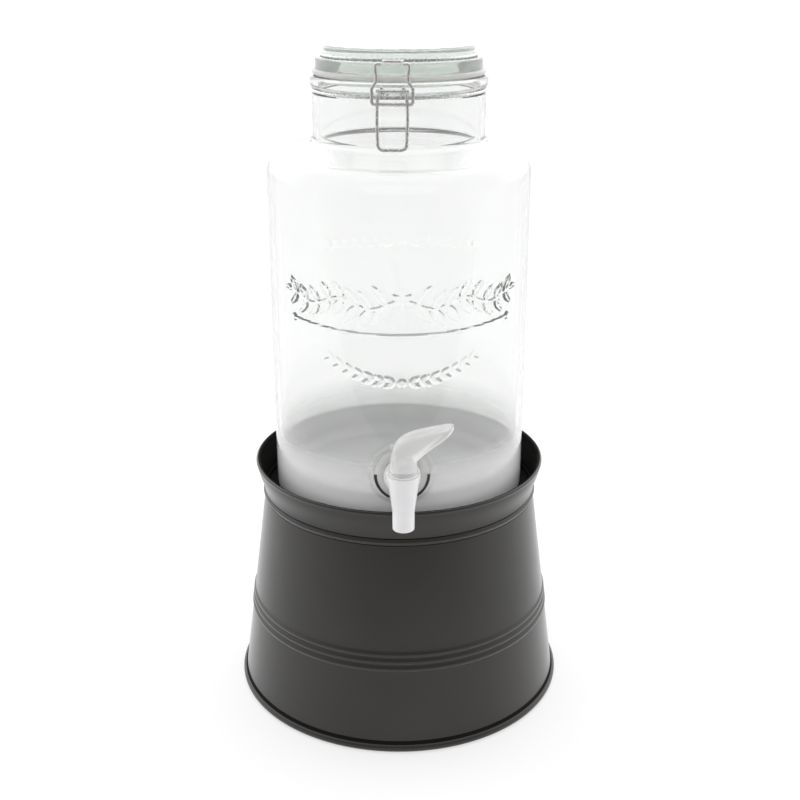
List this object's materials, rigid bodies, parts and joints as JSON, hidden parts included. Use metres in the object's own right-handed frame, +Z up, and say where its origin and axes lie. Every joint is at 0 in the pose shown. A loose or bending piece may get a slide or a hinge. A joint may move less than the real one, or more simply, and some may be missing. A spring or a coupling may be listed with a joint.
{
  "type": "beverage dispenser",
  "caption": "Tall cylindrical glass jar with a clamp lid and a plastic tap, standing in the flared collar of a tapered sheet-metal stand.",
  "frame": {"origin": "centre of the stand's round foot, on the surface it stands on", "axes": "+Z up along the axis of the stand and the jar; the tap points to -Y, and its lever to +X"},
  "size_m": [0.2476, 0.2669, 0.4775],
  "materials": {
    "dark_paint": "satin dark brown-black paint on rolled sheet steel",
    "steel_wire": "bright plated steel wire",
    "jar_glass": "clear pressed glass",
    "lid_glass": "thick clear glass, greenish at its edges",
    "gasket": "milky soft rubber",
    "tap_plastic": "milky white moulded plastic",
    "clear_plastic": "clear moulded plastic",
    "clear_washer": "clear soft rubber",
    "seal_rubber": "black rubber"
  },
  "bodies": {
    "stand": {"stand_skirt": "dark_paint", "stand_collar": "dark_paint", "stand_plate": "dark_paint", "foot_wire": "steel_wire", "rim_wire": "steel_wire"},
    "jar": {"jar_glass": "jar_glass", "neck_wire": "steel_wire", "tap_body": "tap_plastic", "tap_outer_washer": "clear_washer", "tap_inner_washer": "clear_washer", "tap_nut": "tap_plastic"},
    "lid": {"lid_glass": "lid_glass", "lid_gasket": "gasket", "lid_wire": "steel_wire"},
    "lever": {"latch_lever": "steel_wire"},
    "bail": {"latch_bail": "steel_wire"},
    "tap_handle": {"tap_lever": "clear_plastic", "tap_seal": "seal_rubber"}
  },
  "joints": [
    {"name": "jar_lift", "type": "slide", "parent": "stand", "child": "jar", "axis": [0, 0, 1], "range_m": [0, 0.06]},
    {"name": "lid_hinge", "type": "hinge", "parent": "jar", "child": "lid", "pos_m": [0.00571, 0.06525, 0.4545], "axis": [-0.9962, 0.0872, 0], "range_deg": [0, 190]},
    {"name": "latch_swing", "type": "hinge", "parent": "jar", "child": "lever", "pos_m": [-0.00553, -0.06326, 0.4529], "axis": [-0.9962, 0.0872, 0], "range_deg": [0, 150]},
    {"name": "bail_swing", "type": "hinge", "parent": "lever", "child": "bail", "pos_m": [-0.00559, -0.06386, 0.4448], "axis": [-0.9962, 0.0872, 0], "range_deg": [-150, 0]},
    {"name": "tap_turn", "type": "hinge", "parent": "jar", "child": "tap_handle", "pos_m": [0, -0.1327, 0.2204], "axis": [0, 0, 1], "range_deg": [-90, 0]}
  ],
  "couplings": [
    {"joint": "bail_swing", "follows": "latch_swing", "ratio": -1}
  ]
}
